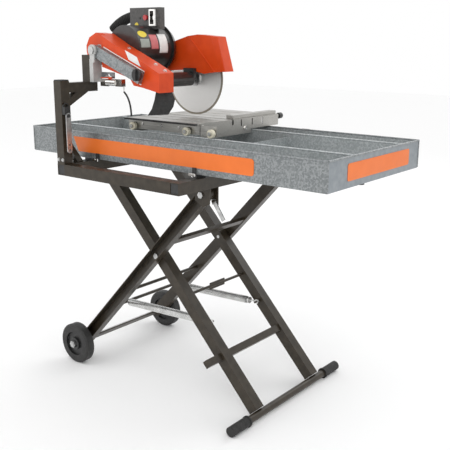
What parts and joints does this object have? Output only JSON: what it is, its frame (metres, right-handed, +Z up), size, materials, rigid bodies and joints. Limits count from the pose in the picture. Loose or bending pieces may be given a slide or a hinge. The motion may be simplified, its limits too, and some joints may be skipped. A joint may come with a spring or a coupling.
{
  "type": "tile cutter",
  "caption": "Wet tile saw: galvanised water tray with rolling cart, guarded blade head on a pivoting mast, and a folding wheeled stand.",
  "frame": {"origin": "centre of the footprint at floor level", "axes": "+X along the tray away from the saw head, +Y from the operator's side to the back, +Z up"},
  "size_m": [1.248, 0.742, 1.312],
  "materials": {
    "galvanised": "spangled zinc",
    "black_steel": "gloss",
    "orange": "satin",
    "black_plastic": "matte",
    "rubber": "matte",
    "tyre": "matte",
    "steel": "brushed",
    "chrome": "polished",
    "light_grey": "satin",
    "cream": "matte",
    "iron": "cast",
    "red_plastic": "gloss",
    "aluminium": "satin"
  },
  "bodies": {
    "frame": {"tray_pan": "galvanised", "tray_walls": "galvanised", "tray_fittings": "black_plastic", "platform_tubes": "black_steel", "tray_rests": "black_plastic", "mast": "black_steel", "pivot_bracket": "light_grey", "pivot_pin": "steel", "valve_and_plate": "chrome", "catch_and_pin": "black_plastic", "stand_ears": "black_steel", "hinge_bolts": "steel", "water_hose": "rubber"},
    "wheel_frame": {"near_wheel_leg": "black_steel", "far_wheel_leg": "black_steel", "wheel_frame_bars": "black_steel", "axle_and_bolts": "steel"},
    "springs": {"assist_springs": "steel"},
    "spring_hooks": {"spring_fronts": "steel"},
    "near_wheel": {"near_wheel": "tyre"},
    "far_wheel": {"far_wheel": "tyre"},
    "foot_frame": {"near_foot_leg": "black_steel", "far_foot_leg": "black_steel", "foot_frame_bars": "black_steel", "foot_bar": "black_steel", "foot_grips": "rubber"},
    "release_bar": {"release_bar": "black_steel"},
    "head": {"head_arm": "galvanised", "guard_shell": "orange", "splash_flap": "rubber", "motor_shell": "black_steel", "motor_end_bell": "black_steel", "switch_case": "black_plastic", "ribbed_boot": "black_plastic", "arbor_housing": "black_steel", "blade_guard": "orange", "drive_belt": "rubber"},
    "rotor": {"rotor_and_pulley": "iron"},
    "arbor": {"arbor_and_pulley": "steel", "blade": "steel", "blade_flanges": "steel"},
    "toggle": {"toggle": "chrome"},
    "stop_button": {"stop_button": "red_plastic"},
    "depth_knob": {"depth_knob": "black_plastic"},
    "valve_lever": {"valve_lever": "orange"},
    "lock_strap": {"lock_strap": "steel"},
    "stay_strap": {"stay_strap": "steel"},
    "left_wing_nut": {"left_wing_nut": "chrome"},
    "right_wing_nut": {"right_wing_nut": "chrome"},
    "cart": {"cart_slats": "aluminium", "edge_strip": "rubber", "cart_panels": "aluminium", "roller_bolts": "steel"},
    "fence": {"fence_and_rod": "aluminium"},
    "fence_knob": {"fence_knob": "black_plastic"},
    "near_roller_1": {"near_roller_1": "cream"},
    "near_roller_2": {"near_roller_2": "cream"},
    "near_roller_3": {"near_roller_3": "cream"},
    "far_roller_1": {"far_roller_1": "cream"},
    "far_roller_2": {"far_roller_2": "cream"}
  },
  "joints": [
    {"name": "stand_fold", "type": "hinge", "parent": "frame", "child": "wheel_frame", "pos_m": [0.13363, 0, 0.73368], "axis": [0, 1, 0], "range_deg": [0, 34]},
    {"name": "stand_cross", "type": "hinge", "parent": "wheel_frame", "child": "foot_frame", "pos_m": [-0.102, 0, 0.481], "axis": [0, 1, 0], "range_deg": [-68, 0]},
    {"name": "spring_swing", "type": "hinge", "parent": "wheel_frame", "child": "springs", "pos_m": [-0.31819, 0, 0.24916], "axis": [0, 1, 0], "range_deg": [-31.69, 0]},
    {"name": "hook_swing", "type": "hinge", "parent": "foot_frame", "child": "spring_hooks", "pos_m": [0.09442, 0, 0.27037], "axis": [0, 1, 0], "range_deg": [0, 36.32]},
    {"name": "near_wheel_spin", "type": "hinge", "parent": "wheel_frame", "child": "near_wheel", "pos_m": [-0.47948, -0.242, 0.0762], "axis": [0, 1, 0], "continuous": true},
    {"name": "far_wheel_spin", "type": "hinge", "parent": "wheel_frame", "child": "far_wheel", "pos_m": [-0.47948, 0.242, 0.0762], "axis": [0, 1, 0], "continuous": true},
    {"name": "release_turn", "type": "hinge", "parent": "foot_frame", "child": "release_bar", "pos_m": [0.01394, 0, 0.35667], "axis": [0, 1, 0], "range_deg": [-40, 40]},
    {"name": "head_plunge", "type": "hinge", "parent": "frame", "child": "head", "pos_m": [-0.323, -0.233, 1.17], "axis": [0, 1, 0], "range_deg": [-15, 4]},
    {"name": "rotor_spin", "type": "hinge", "parent": "head", "child": "rotor", "pos_m": [-0.262, 0, 1.177], "axis": [0, 1, 0], "continuous": true},
    {"name": "blade_spin", "type": "hinge", "parent": "head", "child": "arbor", "pos_m": [-0.126, 0, 1.0735], "axis": [0, 1, 0], "continuous": true},
    {"name": "toggle_rock", "type": "hinge", "parent": "head", "child": "toggle", "pos_m": [-0.213, -0.054, 1.278], "axis": [1, 0, 0], "range_deg": [-12, 12]},
    {"name": "stop_press", "type": "slide", "parent": "head", "child": "stop_button", "axis": [0, 1, 0], "range_m": [0, 0.003], "stiffness_N_per_m": 400},
    {"name": "knob_turn", "type": "hinge", "parent": "head", "child": "depth_knob", "pos_m": [-0.112, -0.25, 1.096], "axis": [0, 1, 0], "continuous": true},
    {"name": "valve_turn", "type": "hinge", "parent": "frame", "child": "valve_lever", "pos_m": [-0.265, -0.225, 1.08], "axis": [0, 0, 1], "range_deg": [0, 90]},
    {"name": "strap_swing", "type": "hinge", "parent": "frame", "child": "lock_strap", "pos_m": [-0.33, -0.358, 0.96], "axis": [1, 0, 0], "range_deg": [-30, 30]},
    {"name": "stay_swing", "type": "hinge", "parent": "frame", "child": "stay_strap", "pos_m": [0.15, -0.1805, 0.709], "axis": [0, 1, 0], "range_deg": [-60, 30]},
    {"name": "left_nut_turn", "type": "hinge", "parent": "frame", "child": "left_wing_nut", "pos_m": [-0.279, -0.29, 0.811], "axis": [0, 1, 0], "continuous": true},
    {"name": "right_nut_turn", "type": "hinge", "parent": "frame", "child": "right_wing_nut", "pos_m": [0.157, -0.29, 0.811], "axis": [0, 1, 0], "continuous": true},
    {"name": "cart_roll", "type": "slide", "parent": "frame", "child": "cart", "axis": [1, 0, 0], "range_m": [-0.3, 0.5]},
    {"name": "fence_slide", "type": "slide", "parent": "cart", "child": "fence", "axis": [1, 0, 0], "range_m": [-0.2, 0]},
    {"name": "fence_knob_turn", "type": "hinge", "parent": "fence", "child": "fence_knob", "pos_m": [0.02, 0.358, 0.93], "axis": [0, 1, 0], "continuous": true},
    {"name": "near_roller_1_spin", "type": "hinge", "parent": "cart", "child": "near_roller_1", "pos_m": [-0.258, -0.132, 0.9138], "axis": [0, 1, 0], "range_deg": [-1300, 2200]},
    {"name": "near_roller_2_spin", "type": "hinge", "parent": "cart", "child": "near_roller_2", "pos_m": [-0.008, -0.132, 0.9138], "axis": [0, 1, 0], "range_deg": [-1300, 2200]},
    {"name": "near_roller_3_spin", "type": "hinge", "parent": "cart", "child": "near_roller_3", "pos_m": [0.098, -0.132, 0.9138], "axis": [0, 1, 0], "range_deg": [-1300, 2200]},
    {"name": "far_roller_1_spin", "type": "hinge", "parent": "cart", "child": "far_roller_1", "pos_m": [-0.258, 0.16, 0.9138], "axis": [0, 1, 0], "range_deg": [-1300, 2200]},
    {"name": "far_roller_2_spin", "type": "hinge", "parent": "cart", "child": "far_roller_2", "pos_m": [-0.008, 0.16, 0.9138], "axis": [0, 1, 0], "range_deg": [-1300, 2200]}
  ],
  "couplings": [
    {"joint": "stand_cross", "follows": "stand_fold", "ratio": -2},
    {"joint": "blade_spin", "follows": "rotor_spin", "ratio": 1.2},
    {"joint": "spring_swing", "follows": "stand_fold", "ratio": -0.93206},
    {"joint": "hook_swing", "follows": "stand_fold", "ratio": 1.0679},
    {"joint": "near_roller_1_spin", "follows": "cart_roll", "rad_per_m": 74.074},
    {"joint": "near_roller_2_spin", "follows": "cart_roll", "rad_per_m": 74.074},
    {"joint": "near_roller_3_spin", "follows": "cart_roll", "rad_per_m": 74.074},
    {"joint": "far_roller_1_spin", "follows": "cart_roll", "rad_per_m": 74.074},
    {"joint": "far_roller_2_spin", "follows": "cart_roll", "rad_per_m": 74.074}
  ]
}
